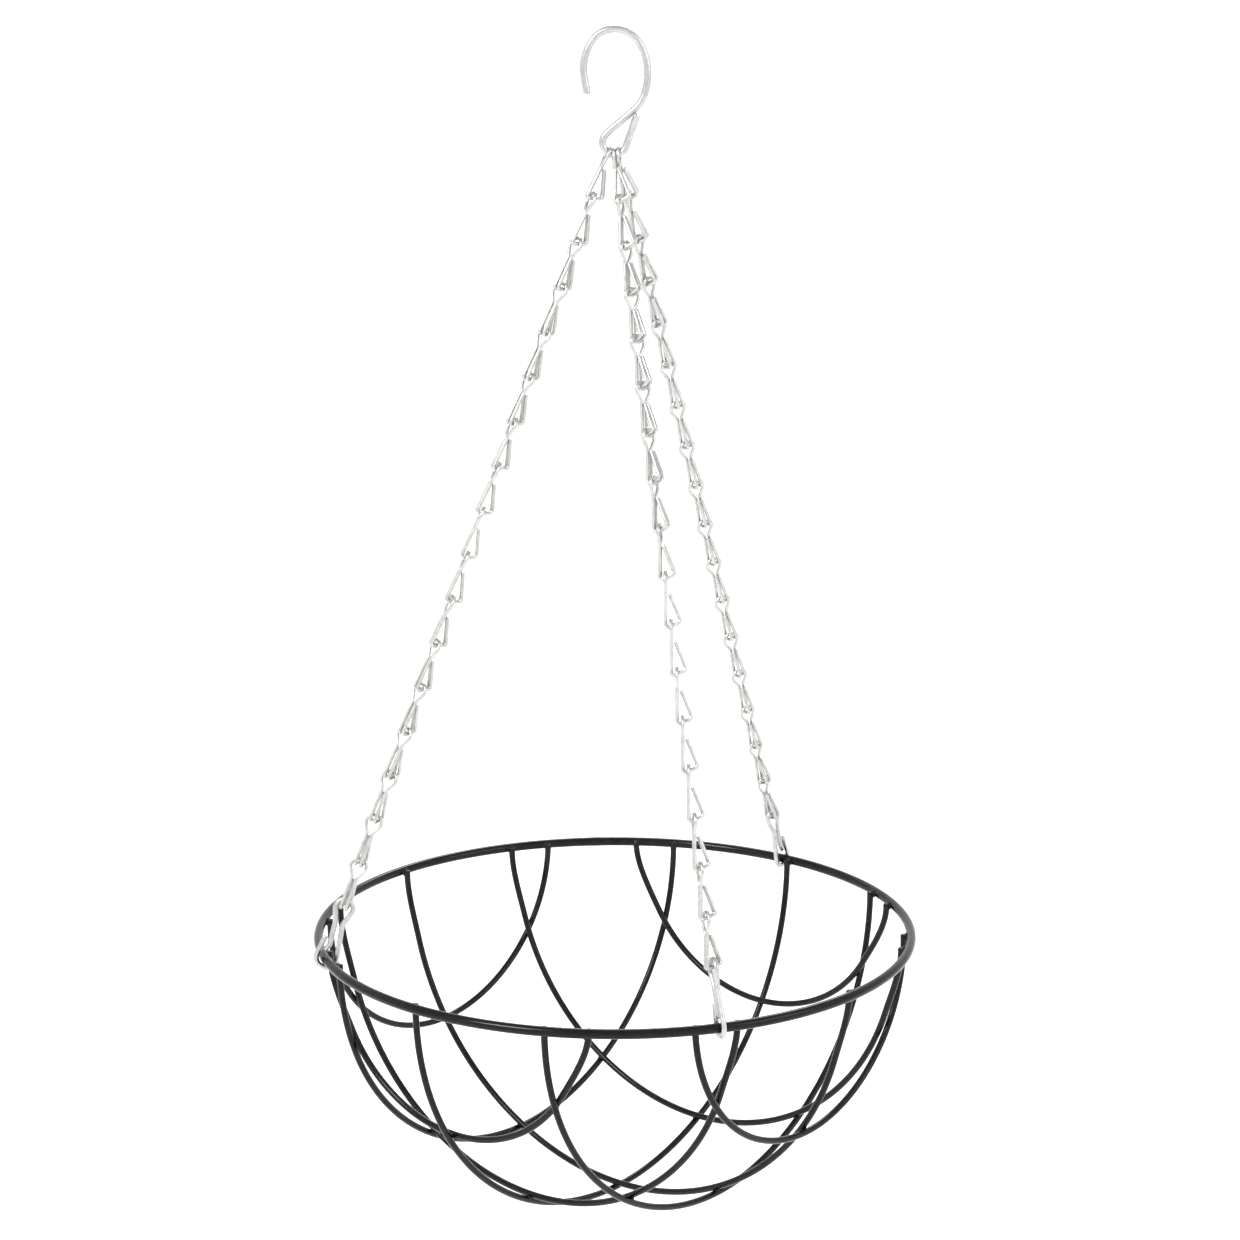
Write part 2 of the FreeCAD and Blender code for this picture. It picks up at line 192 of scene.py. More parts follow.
def tangent_on_ring(neck, centre, radius):
    """Tangent point on the neck's side of an upright ring that opens downwards."""
    apart = neck - centre
    half_opening = math.atan2(apart.x, -apart.z) + math.acos(radius / apart.length)
    return centre + Vector((math.sin(half_opening), 0, -math.cos(half_opening))) * radius


def ring_arc(from_point, to_point, centre, radius):
    """Points over the top of an upright ring, from one side of its neck to the other."""
    first = math.atan2(from_point.x - centre.x, from_point.z - centre.z)
    last = math.atan2(to_point.x - centre.x, to_point.z - centre.z)
    count = math.ceil(abs(last - first) / SMOOTH_STEP)
    points = []
    for step in range(1, count):
        angle = first + (last - first) * step / count
        points.append(centre + Vector((math.sin(angle), 0, math.cos(angle))) * radius)
    return points


def mirrored(point):
    """The same point on the other side of the YZ plane."""
    return Vector((-point.x, point.y, point.z))


def mm(x, y, z):
    """A point given in millimetres."""
    return Vector((x, y, z)) * MM


# ------------------------------------------------------------------ meshes

DOUBLED_POINT = 1e-6
CHAMFER_LENGTH = 0.22
# How far along the chamfer each ring of points lies, and its share of the wire's radius.
CHAMFER_STEPS = [(0.0, 0.80), (0.45, 0.94), (1.0, 1.0)]


def evened(points, longest):
    """The same path with long straight runs split, and doubled points dropped."""
    out = [points[0]]
    for point in points[1:]:
        start = out[-1]
        gap = (point - start).length
        if gap < DOUBLED_POINT:
            continue
        pieces = max(1, math.ceil(gap / longest))
        for piece in range(1, pieces + 1):
            out.append(start.lerp(point, piece / pieces))
    return out


def path_frames(points, closed):
    """A direction and two cross directions at each point, carried along the path."""
    count = len(points)
    frames = []
    cross = None
    for index, point in enumerate(points):
        before = points[index - 1] if (index or closed) else point
        after = points[(index + 1) % count] if (index < count - 1 or closed) else point
        way = (after - before).normalized()
        if cross is None:
            helper = Z_AXIS if abs(way.z) < 0.9 else X_AXIS
            cross = way.cross(helper).normalized()
        else:
            cross = (cross - way * cross.dot(way)).normalized()
        frames.append((way, cross, way.cross(cross)))
    return frames


def wire_object(name, points, wire, sides, closed=False, swell=None, longest=None):
    """A round wire along a path, with chamfered ends and a map round and along it."""
    points = evened(points, longest or wire * 0.8)
    radius = wire / 2
    frames = path_frames(points, closed)
    lengths = [0.0]
    for first, second in zip(points, points[1:]):
        lengths.append(lengths[-1] + (second - first).length)
    total = lengths[-1]
    rows = []
    for point, axes, at in zip(points, frames, lengths):
        thick = radius * (swell(at, total) if swell else 1.0)
        rows.append((point, axes, thick, at))
    if not closed:
        chamfer = radius * CHAMFER_LENGTH
        head, head_axes = points[0], frames[0]
        foot, foot_axes = points[-1], frames[-1]
        rows[:1] = [(head + head_axes[0] * chamfer * share, head_axes, radius * thick,
                     chamfer * share) for share, thick in CHAMFER_STEPS]
        rows[-1:] = [(foot - foot_axes[0] * chamfer * share, foot_axes, radius * thick,
                      total - chamfer * share) for share, thick in reversed(CHAMFER_STEPS)]
    verts = []
    for point, (way, cross, up), thick, at in rows:
        for side in range(sides):
            angle = 2 * math.pi * side / sides
            verts.append(point + (cross * math.cos(angle) + up * math.sin(angle)) * thick)
    faces = []
    marks = []
    count = len(rows)
    spans = count if closed else count - 1
    girth = math.pi * wire
    for row in range(spans):
        following = (row + 1) % count
        low = rows[row][3]
        high = rows[following][3] if following else total + (points[0] - points[-1]).length
        for side in range(sides):
            beside = (side + 1) % sides
            faces.append((row * sides + side, row * sides + beside,
                          following * sides + beside, following * sides + side))
            around = girth * side / sides
            next_around = girth * (side + 1) / sides
            marks += [(around, low), (next_around, low), (next_around, high), (around, high)]
    if not closed:
        faces.append(tuple(reversed(range(sides))))
        faces.append(tuple(range((count - 1) * sides, count * sides)))
        marks += [(0.0, 0.0)] * sides + [(0.0, total)] * sides
    made = mesh_object(name, verts, faces)
    mesh = made.data
    layer = mesh.uv_layers.new(name="wire_map")
    for loop, (around, along) in zip(layer.data, marks):
        loop.uv = (around / MM, along / MM)
    for polygon in mesh.polygons:
        polygon.use_smooth = len(polygon.vertices) == 4
    mesh.update()
    return made


def mesh_object(name, verts, faces):
    """A mesh in the scene, with its object at the origin."""
    mesh = bpy.data.meshes.new(name)
    mesh.from_pydata(verts, [], faces)
    made = bpy.data.objects.new(name, mesh)
    bpy.context.scene.collection.objects.link(made)
    return made


def place(made, matrix):
    """Moves a mesh's own points, so that the object itself stays at the origin."""
    made.data.transform(matrix)
    made.data.update()


def finish_piece(made, material, body, nodes):
    """Gives a piece its material and its body, and hides the CAD nodes it stands for."""
    made.data.materials.append(material)
    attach(made, body)
    if nodes:
        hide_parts(*nodes)


BOX_ALLOWANCE = 0.4 * MM


def check_box(made, node):
    """Stops if a piece has drifted from the CAD node that it stands for."""
    low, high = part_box(node)
    for axis in range(3):
        values = [vertex.co[axis] for vertex in made.data.vertices]
        drift = max(abs(min(values) - low[axis]), abs(max(values) - high[axis]))
        if drift > BOX_ALLOWANCE:
            raise RuntimeError(f"{node} is {drift:.5f} m off its CAD box on axis {axis}")


# ------------------------------------------------------------------ materials

def add(nodes, kind, **values):
    """A shader node with some of its inputs or settings filled in."""
    node = nodes.new(kind)
    for key, value in values.items():
        if key in node.inputs:
            node.inputs[key].default_value = value
        else:
            setattr(node, key, value)
    return node


def ramp(nodes, stops):
    """A colour ramp with the given positions and colours."""
    node = nodes.new("ShaderNodeValToRGB")
    elements = node.color_ramp.elements
    while len(elements) < len(stops):
        elements.new(0.5)
    for element, (position, colour) in zip(elements, stops):
        element.position = position
        element.color = (*colour, 1.0)
    return node


def grey(value):
    """A neutral colour."""
    return (value, value, value)


def new_material(name):
    """A material with its node list, its link list and its main shader."""
    material = bpy.data.materials.new(name)
    material.use_nodes = True
    nodes, links = material.node_tree.nodes, material.node_tree.links
    return material, nodes, links, nodes["Principled BSDF"]


def vary_roughness(nodes, links, pattern, shader, smooth, rough):
    """Lets a pattern move a shader's roughness between two values."""
    dull = add(nodes, "ShaderNodeMapRange", **{"From Min": 0.3, "From Max": 0.7,
                                               "To Min": smooth, "To Max": rough})
    links.new(pattern.outputs["Fac"], dull.inputs["Value"])
    links.new(dull.outputs["Result"], shader.inputs["Roughness"])


def zinc_material(name, dark, light, tint):
    """Bright zinc plate over drawn wire: faint lines along it, mottled tone."""
    material, nodes, links, shader = new_material(name)
    shader.inputs["Metallic"].default_value = 1.0
    where = add(nodes, "ShaderNodeTexCoord")
    stretch = add(nodes, "ShaderNodeMapping", Scale=(2.6, 0.10, 1.0))
    links.new(where.outputs["UV"], stretch.inputs["Vector"])
    lines = add(nodes, "ShaderNodeTexNoise", Scale=3.0, Detail=4.0, Roughness=0.62)
    links.new(stretch.outputs["Vector"], lines.inputs["Vector"])
    mottle = add(nodes, "ShaderNodeTexNoise", Scale=420.0, Detail=5.0, Roughness=0.6)
    links.new(where.outputs["Object"], mottle.inputs["Vector"])
    grain = add(nodes, "ShaderNodeTexVoronoi", Scale=900.0)
    links.new(where.outputs["Object"], grain.inputs["Vector"])
    tone = ramp(nodes, [(0.30, [dark * part for part in tint]),
                        (0.62, [light * part for part in tint])])
    links.new(mottle.outputs["Fac"], tone.inputs["Fac"])
    links.new(tone.outputs["Color"], shader.inputs["Base Color"])
    vary_roughness(nodes, links, lines, shader, 0.24, 0.38)
    heights = add(nodes, "ShaderNodeMath", operation="MULTIPLY_ADD")
    grain_height, grain_share, line_height = heights.inputs
    grain_share.default_value = 0.35
    links.new(grain.outputs["Distance"], grain_height)
    links.new(lines.outputs["Fac"], line_height)
    bump = add(nodes, "ShaderNodeBump", Strength=0.12, Distance=0.00004)
    links.new(heights.outputs["Value"], bump.inputs["Height"])
    links.new(bump.outputs["Normal"], shader.inputs["Normal"])
    return material


def coated_material(name, dark, light, smooth, rough, peel):
    """Black coating over wire: slightly uneven gloss and soft orange peel."""
    material, nodes, links, shader = new_material(name)
    shader.inputs["Specular IOR Level"].default_value = 0.20
    where = add(nodes, "ShaderNodeTexCoord")
    cloud = add(nodes, "ShaderNodeTexNoise", Scale=60.0, Detail=4.0, Roughness=0.55)
    links.new(where.outputs["Object"], cloud.inputs["Vector"])
    tone = ramp(nodes, [(0.35, dark), (0.70, light)])
    links.new(cloud.outputs["Fac"], tone.inputs["Fac"])
    links.new(tone.outputs["Color"], shader.inputs["Base Color"])
    gloss = add(nodes, "ShaderNodeTexNoise", Scale=180.0, Detail=3.0, Roughness=0.5)
    links.new(where.outputs["Object"], gloss.inputs["Vector"])
    vary_roughness(nodes, links, gloss, shader, smooth, rough)
    skin = add(nodes, "ShaderNodeTexNoise", Scale=peel, Detail=2.0, Roughness=0.45)
    links.new(where.outputs["Object"], skin.inputs["Vector"])
    bump = add(nodes, "ShaderNodeBump", Strength=0.35, Distance=0.00012)
    links.new(skin.outputs["Fac"], bump.inputs["Height"])
    links.new(bump.outputs["Normal"], shader.inputs["Normal"])
    return material


COOL_TINT = (0.98, 1.0, 0.99)
WARM_TINT = (1.00, 1.0, 0.97)

hook_zinc = zinc_material("hook_zinc", dark=0.42, light=0.53, tint=COOL_TINT)
link_zinc = zinc_material("link_zinc", dark=0.43, light=0.55, tint=WARM_TINT)
clip_zinc = zinc_material("clip_zinc", dark=0.42, light=0.54, tint=COOL_TINT)
rim_black = coated_material("rim_coating", dark=grey(0.002), light=(0.006, 0.006, 0.007),
                            smooth=0.11, rough=0.21, peel=700.0)
hoop_black = coated_material("hoop_coating", dark=grey(0.002), light=(0.007, 0.007, 0.008),
                             smooth=0.12, rough=0.24, peel=900.0)
weld_black = coated_material("weld_coating", dark=grey(0.003), light=(0.010, 0.010, 0.011),
                             smooth=0.20, rough=0.34, peel=1100.0)


# ------------------------------------------------------------------ hook

def make_hook():
    """Open crook, a diagonal neck and a teardrop eye whose tail steps past the neck."""
    eye_centre = Vector((0, 0, HOOK_EYE_RADIUS - HOOK_EYE_BOTTOM))
    turn = math.radians(HOOK_TAIL_ANGLE)
    eye_exit = eye_centre + Vector((math.sin(turn), 0, -math.cos(turn))) * HOOK_EYE_RADIUS
    tail_way = Vector((math.cos(turn), 0, math.sin(turn)))
    # Places the wire passes through, with its angle there in the plane of the hook.
    keys = [
        (mm(-15.0, 0, -33.0), 98.0),
        (mm(-16.9, 0, -19.0), 90.0),
        (Vector((0, 0, HOOK_WIRE / 2)), 0.0),
        (mm(18.2, 0, -21.5), -90.0),
        (mm(10.2, 0, -42.1), -140.6),
        (mm(-0.5, 0, -50.9), -140.6),
        (eye_centre - X_AXIS * HOOK_EYE_RADIUS, -90.0),
        (eye_centre - Z_AXIS * HOOK_EYE_RADIUS, 0.0),
        (eye_exit, HOOK_TAIL_ANGLE),
    ]
    stations = []
    for point, angle in keys:
        way = math.radians(angle)
        stations.append((point, Vector((math.cos(way), 0, math.sin(way)))))
    tail = tail_way * HOOK_TAIL_LENGTH
    tail_step = Vector((0, -HOOK_TAIL_STEP, 0))
    stations.append((eye_exit + tail + tail_step, (tail + tail_step * 2).normalized()))
    points = [stations[0][0]]
    for (start, start_way), (end, end_way) in zip(stations, stations[1:]):
        points += curve_points(start, start_way, end, end_way)
    made = wire_object("hanging_hook_wire", points, HOOK_WIRE, sides=32)
    check_box(made, "hanging_hook")
    finish_piece(made, hook_zinc, "hook", ["hanging_hook"])


# ------------------------------------------------------------------ chains

def link_points():
    """One link's centreline, with the top of its ring at the origin."""
    centre = Vector((0, 0, -LINK_RING_RADIUS))
    neck = Vector((LINK_NECK_SPACING / 2, 0, -LINK_NECK_DROP))
    on_ring = tangent_on_ring(neck, centre, LINK_RING_RADIUS)
    front_corner = Vector((HALF_RAILS, 0, -LINK_BASE_DROP))
    back_corner = front_corner + Vector((0, LINK_FOLD_DEPTH, LINK_FOLD_RISE))
    wire_end = Vector((LINK_NECK_SPACING / 2 - LINK_END_INSET, LINK_END_DEPTH,
                       neck.z - LINK_END_DROP))
    side = [wire_end, back_corner, front_corner, neck, on_ring]
    first_half = rounded_points(side, LINK_BENDS)
    second_half = rounded_points([mirrored(point) for point in reversed(side)],
                                 LINK_BENDS[::-1])
    over_ring = ring_arc(on_ring, mirrored(on_ring), centre, LINK_RING_RADIUS)
    return first_half + over_ring + second_half


def eased_turn(turns, index):
    """Turn of one link, flowing smoothly between the links that are stated."""
    known = sorted(turns)
    for low, high in zip(known, known[1:]):
        if low <= index <= high:
            share = (index - low) / (high - low)
            smooth = (share + share * share * (3 - 2 * share)) / 2
            return turns[low] + (turns[high] - turns[low]) * smooth
    return turns[known[-1]]


def matrix_from(first_axis, second_axis, third_axis, origin):
    """Matrix whose local axes point along three given directions."""
    matrix = Matrix((first_axis, second_axis, third_axis)).transposed().to_4x4()
    matrix.translation = origin
    return matrix


def chain_line(side):
    """Top of the first ring, direction up the chain and the step between links."""
    second = JOINTS[f"{side}_link_02_twist"]
    last = JOINTS[f"{side}_link_{LINKS_PER_CHAIN:02d}_twist"]
    up = Vector(second["axis"]).normalized()
    second_top = Vector(second["pos_m"])
    last_top = Vector(last["pos_m"])
    step = (last_top - second_top).length / (LINKS_PER_CHAIN - 2)
    return second_top + up * step, up, step


def link_matrix(side, index):
    """Place of a link, counted from 1 at the hook, turned about its chain."""
    top, up, step = chain_line(side)
    level_fold = (X_AXIS - up * X_AXIS.dot(up)).normalized()
    turn = math.radians(eased_turn(CHAINS[side]["turns"], index))
    fold = level_fold * math.cos(turn) + up.cross(level_fold) * math.sin(turn)
    upright = matrix_from(fold.cross(up), fold, up, top - up * (step * (index - 1)))
    return upright @ Matrix.Rotation(-LINK_LEAN, 4, "X")


def make_chains():
    """Every link of the three chains, as its own piece."""
    for side in CHAINS:
        for index in range(1, LINKS_PER_CHAIN + 1):
            name = f"{side}_chain_link_{index:02d}"
            made = wire_object(name, link_points(), LINK_WIRE, sides=16, longest=1.2 * MM)
            place(made, link_matrix(side, index))
            if index == 1:
                body, nodes = "basket", ["top_links"]
            else:
                body = f"{side}_link_{index:02d}"
                nodes = [body]
                check_box(made, body)
            finish_piece(made, link_zinc, body, nodes)


# ------------------------------------------------------------------ rim clips

def clip_points():
    """One clip's centreline: ring, neck, an arm round the rim and a latch arm."""
    centre = Vector((0, 0, -CLIP_RING_RADIUS))
    neck = Vector((CLIP_NECK_SPACING / 2, 0, -CLIP_NECK_DROP))
    on_ring = tangent_on_ring(neck, centre, CLIP_RING_RADIUS)
    rim_centre = -CLIP_LENGTH
    half_arms = CLIP_ARM_SPACING / 2
    floor = rim_centre - RIM_WIRE / 2 - CLIP_WIRE / 2 - CLIP_SEAT_PLAY
    arm = [
        Vector((4.8 * MM, 0, rim_centre + 13.0 * MM)),
        Vector((half_arms + 0.5 * MM, 0, floor)),
        Vector((-half_arms - 0.3 * MM, 0, floor)),
        mirrored(neck),
        mirrored(on_ring),
    ]
    latch = [
        on_ring,
        neck,
        Vector((1.0 * MM, 0, rim_centre + 9.0 * MM)),
        Vector((2.3 * MM, 0, rim_centre + 5.2 * MM)),
    ]
    return (rounded_points(arm, CLIP_ARM_BENDS)
            + ring_arc(mirrored(on_ring), on_ring, centre, CLIP_RING_RADIUS)
            + rounded_points(latch, CLIP_LATCH_BENDS))


def make_clips():
    """A clip at the foot of each chain, its latch outside the rim unless flipped."""
    for side, chain in CHAINS.items():
        _, up, _ = chain_line(side)
        foot_angle = math.radians(chain["rim_angle"])
        foot = Vector((RIM_RADIUS * math.cos(foot_angle), RIM_RADIUS * math.sin(foot_angle),
                       RIM_HEIGHT))
        angle = math.radians(chain["rim_angle"] + chain["swivel"])
        radial = Vector((math.cos(angle), math.sin(angle), 0))
        out = (radial - up * radial.dot(up)).normalized()
        if chain["flipped"]:
            out = -out
        last_link = link_matrix(side, LINKS_PER_CHAIN).to_3x3()
        beside = last_link @ Vector((0, 1, 0))
        origin = foot + up * CLIP_LENGTH + beside * (CLIP_SEAT - LINK_SEAT)
        made = wire_object(f"{side}_rim_clip", clip_points(), CLIP_WIRE, sides=24)
        place(made, matrix_from(out, up.cross(out), up, origin))
        check_box(made, f"{side}_clip")
        finish_piece(made, clip_zinc, "basket", [f"{side}_clip"])


# ------------------------------------------------------------------ basket frame

HOOP_SPANS = 150
RIM_SPANS = 400
# Centrelines nearer than this are welded where they cross, unless nearly parallel.
CROSSING_REACH = HOOP_WIRE * 1.05
NEARLY_PARALLEL = 0.98
# Half sizes of a bead, along it, across it and through it.
CROSSING_BEAD = (HOOP_WIRE * 0.51, HOOP_WIRE * 0.31, HOOP_WIRE * 0.51)
RIM_BEAD = (HOOP_WIRE * 0.62, HOOP_WIRE * 0.66, HOOP_WIRE * 0.36)
RIM_BEAD_OUT = HOOP_WIRE * 0.42
RIM_BEAD_DOWN = HOOP_WIRE * 0.38
BEAD_RINGS = 12
BEAD_SIDES = 18


def reach_down(offset, lean, radius, depth):
    """How far the bowl lies down a leaning plane, from that plane's line at the rim."""
    across = math.sin(math.radians(lean))
    down = math.cos(math.radians(lean))
    square = (across / radius) ** 2 + (down / depth) ** 2
    middle = offset * across / radius ** 2
    rest = 1 - (offset / radius) ** 2
    return (math.sqrt(middle ** 2 + square * rest) - middle) / square


def hoop_points(offset, lean, inner_layer):
    """A hoop's centreline on the bowl's outer or inner layer, in its own plane."""
    inset = LAYER_STEP if inner_layer else 0.0
    radius = HOOP_RADIUS - inset
    half_width = math.sqrt(radius ** 2 - offset ** 2)
    depth = reach_down(offset, lean, radius, BOWL_DEPTH - inset)
    flare = math.sqrt(HOOP_RADIUS ** 2 - offset ** 2) - half_width
    points = []
    for step in range(HOOP_SPANS + 1):
        angle = math.pi * step / HOOP_SPANS
        below = depth * math.sin(angle)
        share = max(0.0, 1 - below / FLARE_HEIGHT)
        wide = half_width + flare * share * share * (3 - 2 * share)
        points.append(Vector((0, wide * math.cos(angle), -below)))
    rise = Vector((0, 0, HOOP_END_RISE))
    return [points[0] + rise] + points + [points[-1] + rise]


def end_swell(at, total):
    """The coating gathers where a hoop's ends are welded to the rim."""
    from_end = min(at, total - at)
    return 1.0 + HOOP_END_SWELL * math.exp(-(from_end / HOOP_SWELL_LENGTH) ** 2)


def hoop_matrix(offset, lean, direction):
    """From a hoop's own plane to its place on the basket."""
    stand = Matrix.Translation((offset, 0, 0)) @ Matrix.Rotation(-math.radians(lean), 4, "Y")
    swing = Matrix.Rotation(math.radians(direction), 4, "Z")
    return Matrix.Translation((0, 0, RIM_HEIGHT)) @ swing @ stand


hoop_lines = {1: [], 2: []}


def make_hoops():
    """Two crossing layers of parallel hoops, each a centre, two middle, two side."""
    families = [
        ("centre_hoop", "centre_hoop", 0.0, 0.0, [("a", 0)]),
        ("middle_hoop", "middle_hoops", MIDDLE_OFFSET, 0.0, [("a", 0), ("b", 180)]),
        ("side_hoop", "side_hoops", SIDE_OFFSET, SIDE_LEAN, [("a", 0), ("b", 180)]),
    ]
    for layer, inner_layer in ((1, False), (2, True)):
        for family, node, offset, lean, facings in families:
            for letter, facing in facings:
                points = hoop_points(offset, lean, inner_layer)
                matrix = hoop_matrix(offset, lean,
                                     HOOP_DIRECTION + 90 * (layer - 1) + facing)
                name = f"{family}_{layer}_{letter}"
                made = wire_object(name, points, HOOP_WIRE, sides=24, swell=end_swell)
                place(made, matrix)
                hoop_lines[layer].append([matrix @ point for point in points])
                finish_piece(made, hoop_black, "basket",
                             [f"{node}_{layer}"])


def make_rim():
    """The rim ring, with the slight swelling of its butt weld at the back."""
    points = []
    for step in range(RIM_SPANS):
        angle = 2 * math.pi * step / RIM_SPANS
        points.append(Vector((RIM_RADIUS * math.cos(angle), RIM_RADIUS * math.sin(angle),
                              RIM_HEIGHT)))

    def seam_swell(at, total):
        from_seam = (at / total - RIM_SEAM_PLACE) * total
        return 1.0 + RIM_SEAM_SWELL * math.exp(-(from_seam / RIM_SEAM_LENGTH) ** 2)

    made = wire_object("rim_ring_wire", points, RIM_WIRE, sides=32, closed=True,
                       swell=seam_swell, longest=1.0)
    finish_piece(made, rim_black, "basket", ["rim_ring"])


def nearest_pair(first_line, second_line):
    """Least gap between two centrelines, with a point and a direction on each."""
    def nearest(first_range, second_range):
        return min(((first_line[i] - second_line[j]).length_squared, i, j)
                   for i in first_range for j in second_range)

    coarse = nearest(range(0, len(first_line), 2), range(0, len(second_line), 2))
    _, near_i, near_j = coarse
    fine = nearest(range(max(1, near_i - 3), min(len(first_line) - 1, near_i + 4)),
                   range(max(1, near_j - 3), min(len(second_line) - 1, near_j + 4)))
    gap, i, j = coarse if coarse[0] <= fine[0] else fine
    i = min(max(i, 1), len(first_line) - 2)
    j = min(max(j, 1), len(second_line) - 2)
    first_way = (first_line[i + 1] - first_line[i - 1]).normalized()
    second_way = (second_line[j + 1] - second_line[j - 1]).normalized()
    return math.sqrt(gap), first_line[i], first_way, second_line[j], second_way


def bead(verts, faces, centre, along, across, half_sizes):
    """Adds one soft, slightly lumpy weld bead to a mesh being gathered."""
    normal = along.cross(across).normalized()
    across = normal.cross(along).normalized()
    rings, sides = BEAD_RINGS, BEAD_SIDES
    lump = [random.uniform(0, 2 * math.pi) for _ in range(3)]
    first = len(verts)
    for ring in range(1, rings):
        tall = math.pi * ring / rings
        for side in range(sides):
            turn = 2 * math.pi * side / sides
            rough = (1 + 0.05 * math.sin(3 * turn + lump[0]) * math.sin(tall)
                     + 0.04 * math.sin(2 * turn + 3 * tall + lump[1])
                     + 0.03 * math.sin(5 * turn - 2 * tall + lump[2]))
            offset = (along * (math.cos(tall) * half_sizes[0])
                      + across * (math.sin(tall) * math.cos(turn) * half_sizes[1])
                      + normal * (math.sin(tall) * math.sin(turn) * half_sizes[2]))
            verts.append(centre + offset * rough)
    head = len(verts)
    verts.append(centre + along * half_sizes[0])
    tail = len(verts)
    verts.append(centre - along * half_sizes[0])
    for ring in range(rings - 2):
        upper = first + ring * sides
        lower = upper + sides
        for side in range(sides):
            beside = (side + 1) % sides
            faces.append((upper + side, lower + side, lower + beside, upper + beside))
    last = first + (rings - 2) * sides
    for side in range(sides):
        beside = (side + 1) % sides
        faces.append((head, first + side, first + beside))
        faces.append((tail, last + beside, last + side))


def weld_piece(name, verts, faces):
    """One piece of the basket made from the beads that were gathered."""
    made = mesh_object(name, verts, faces)
    for polygon in made.data.polygons:
        polygon.use_smooth = True
    finish_piece(made, weld_black, "basket", [])


def make_welds():
    """Beads where hoops cross, and where their ends meet the inside of the rim."""
    verts, faces = [], []
    for outer in hoop_lines[1]:
        for inner in hoop_lines[2]:
            gap, point, way, other, other_way = nearest_pair(outer, inner)
            if gap < CROSSING_REACH and abs(way.dot(other_way)) <= NEARLY_PARALLEL:
                middle = (point + other) / 2
                bisector = (way + other_way).normalized()
                bead(verts, faces, middle, bisector, way.cross(other_way).cross(bisector),
                     CROSSING_BEAD)
    weld_piece("crossing_welds", verts, faces)
    verts, faces = [], []
    for line in hoop_lines[1] + hoop_lines[2]:
        for end, further in ((line[0], line[4]), (line[-1], line[-5])):
            outwards = Vector((end.x, end.y, 0)).normalized()
            along_rim = Z_AXIS.cross(outwards)
            down = (further - end).normalized()
            centre = end + outwards * RIM_BEAD_OUT + down * RIM_BEAD_DOWN
            bead(verts, faces, centre, Z_AXIS, along_rim, RIM_BEAD)
    weld_piece("rim_welds", verts, faces)


make_hook()
make_chains()
make_clips()
make_rim()
make_hoops()
make_welds()

# ------------------------------------------------------------------ floor, light, camera

FLOOR_GAP = 0.16
FLOOR_HEIGHT = RIM_HEIGHT - BOWL_DEPTH - FLOOR_GAP


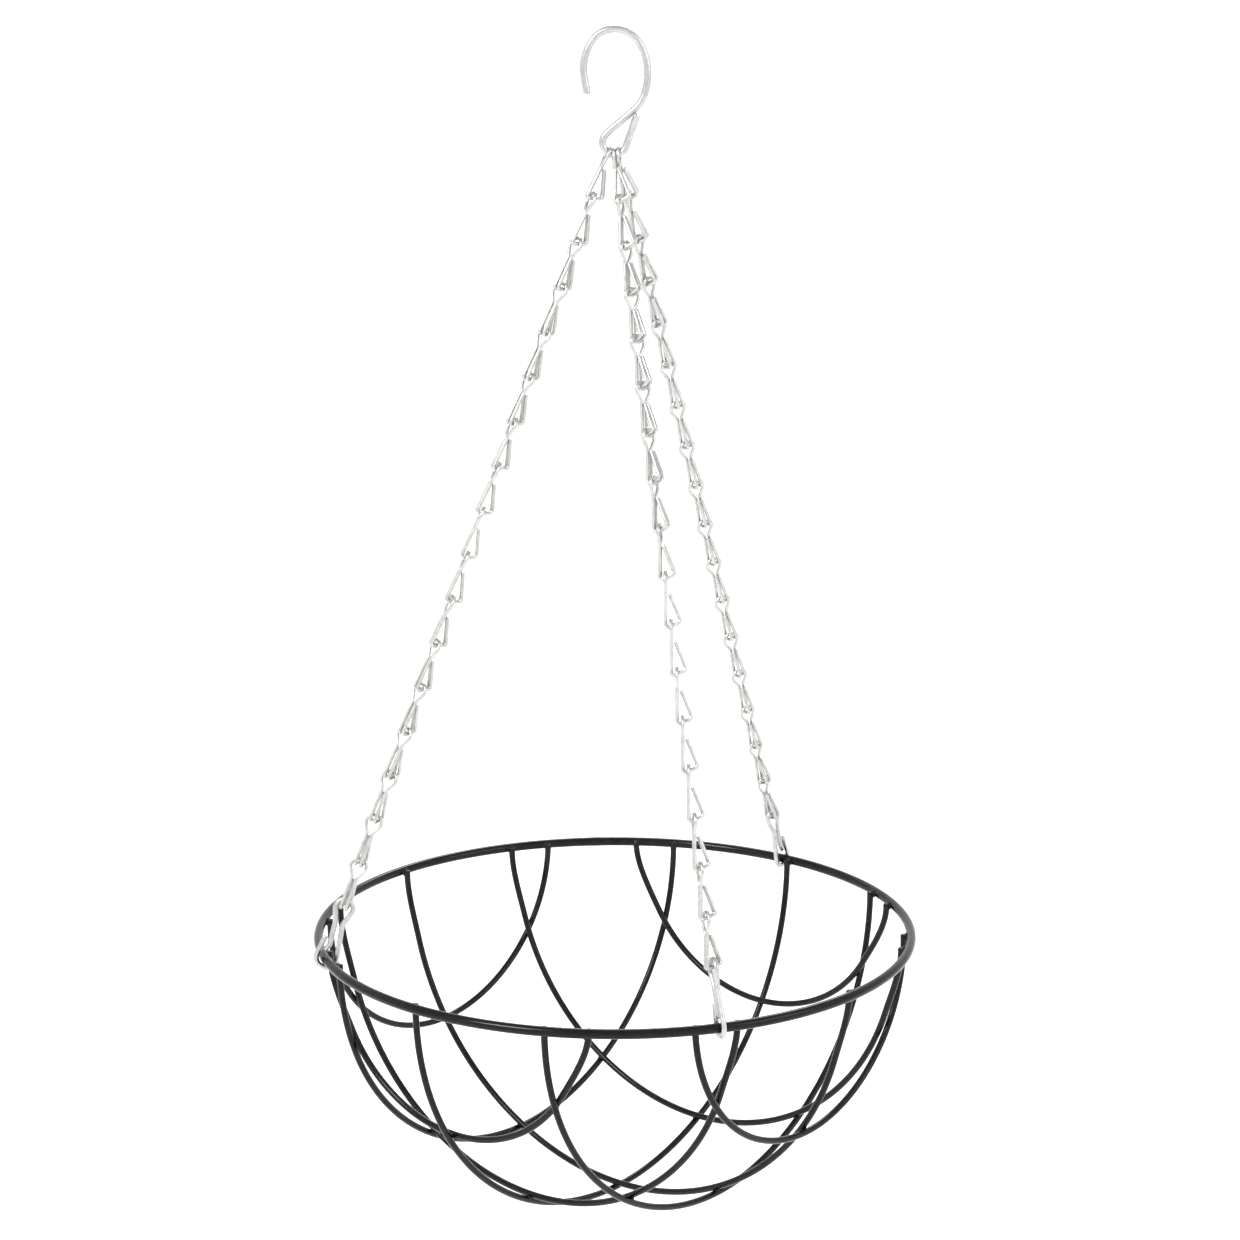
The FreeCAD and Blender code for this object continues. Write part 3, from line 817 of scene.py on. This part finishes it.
def make_floor():
    """A wide, plain, pale floor that curves up into a wall all round."""
    flat, bend, wall = 5.0, 2.5, 4.0
    profile = [(flat, 0.0)]
    for step in range(1, 17):
        angle = math.pi / 2 * step / 16
        profile.append((flat + bend * math.sin(angle), bend * (1 - math.cos(angle))))
    profile.append((flat + bend, bend + wall))
    sides = 96
    verts = [(0.0, 0.0, FLOOR_HEIGHT)]
    for radius, height in profile:
        for side in range(sides):
            angle = 2 * math.pi * side / sides
            verts.append((radius * math.cos(angle), radius * math.sin(angle),
                          FLOOR_HEIGHT + height))
    faces = [(0, 1 + side, 1 + (side + 1) % sides) for side in range(sides)]
    for row in range(len(profile) - 1):
        low, high = 1 + row * sides, 1 + (row + 1) * sides
        for side in range(sides):
            beside = (side + 1) % sides
            faces.append((low + side, high + side, high + beside, low + beside))
    floor = mesh_object("studio_floor", verts, faces)
    for polygon in floor.data.polygons:
        polygon.use_smooth = True
    material, nodes, links, shader = new_material("pale_floor")
    shader.inputs["Roughness"].default_value = 0.9
    shader.inputs["Specular IOR Level"].default_value = 0.1
    shader.inputs["Emission Color"].default_value = (1.0, 1.0, 1.0, 1.0)
    shader.inputs["Emission Strength"].default_value = 0.24
    where = add(nodes, "ShaderNodeTexCoord")
    cloud = add(nodes, "ShaderNodeTexNoise", Scale=1.2, Detail=3.0)
    links.new(where.outputs["Object"], cloud.inputs["Vector"])
    tone = ramp(nodes, [(0.3, grey(0.90)), (0.7, grey(0.92))])
    links.new(cloud.outputs["Fac"], tone.inputs["Fac"])
    links.new(tone.outputs["Color"], shader.inputs["Base Color"])
    floor.data.materials.append(material)


def aim(thing, target):
    """Turns a light or a camera to face a point."""
    way = Vector(target) - thing.location
    thing.rotation_euler = way.to_track_quat("-Z", "Y").to_euler()


def area_light(name, location, target, size, power):
    """A rectangular soft light aimed at a point."""
    data = bpy.data.lights.new(name, "AREA")
    data.shape = "RECTANGLE"
    data.size, data.size_y = size
    data.energy = power
    light = bpy.data.objects.new(name, data)
    bpy.context.scene.collection.objects.link(light)
    light.location = location
    aim(light, target)


def make_light():
    """Soft light from both sides and behind, and a pale sky, brighter overhead."""
    world = bpy.data.worlds.new("studio_world")
    bpy.context.scene.world = world
    world.use_nodes = True
    nodes, links = world.node_tree.nodes, world.node_tree.links
    background = nodes["Background"]
    background.inputs["Strength"].default_value = 0.84
    where = add(nodes, "ShaderNodeTexCoord")
    split = add(nodes, "ShaderNodeSeparateXYZ")
    links.new(where.outputs["Generated"], split.inputs["Vector"])
    tone = ramp(nodes, [(0.0, grey(0.80)), (0.30, grey(0.86)), (1.0, grey(1.0))])
    links.new(split.outputs["Z"], tone.inputs["Fac"])
    links.new(tone.outputs["Color"], background.inputs["Color"])
    area_light("key_light", (-1.6, -1.5, 1.6), (0, 0, -0.35), (0.9, 0.9), 60.0)
    area_light("fill_light", (1.9, -1.0, 0.7), (0, 0, -0.4), (1.2, 1.6), 12.0)
    area_light("back_light", (0.4, 2.2, 1.5), (0, 0, -0.3), (1.2, 0.7), 26.0)


def make_camera():
    """The camera, a little above the hook's top and aimed at the object's middle."""
    data = bpy.data.cameras.new("product_camera")
    data.sensor_width = 36.0
    data.lens = 85.45
    data.clip_start = 0.05
    data.clip_end = 60.0
    camera = bpy.data.objects.new("product_camera", data)
    bpy.context.scene.collection.objects.link(camera)
    camera.location = (0.0, -1.6357, RIM_HEIGHT + 0.5566)
    aim(camera, (0.003, 0.0, RIM_HEIGHT + 0.1846))
    bpy.context.scene.camera = camera


make_floor()
make_light()
make_camera()
bpy.context.scene.view_settings.view_transform = "Standard"
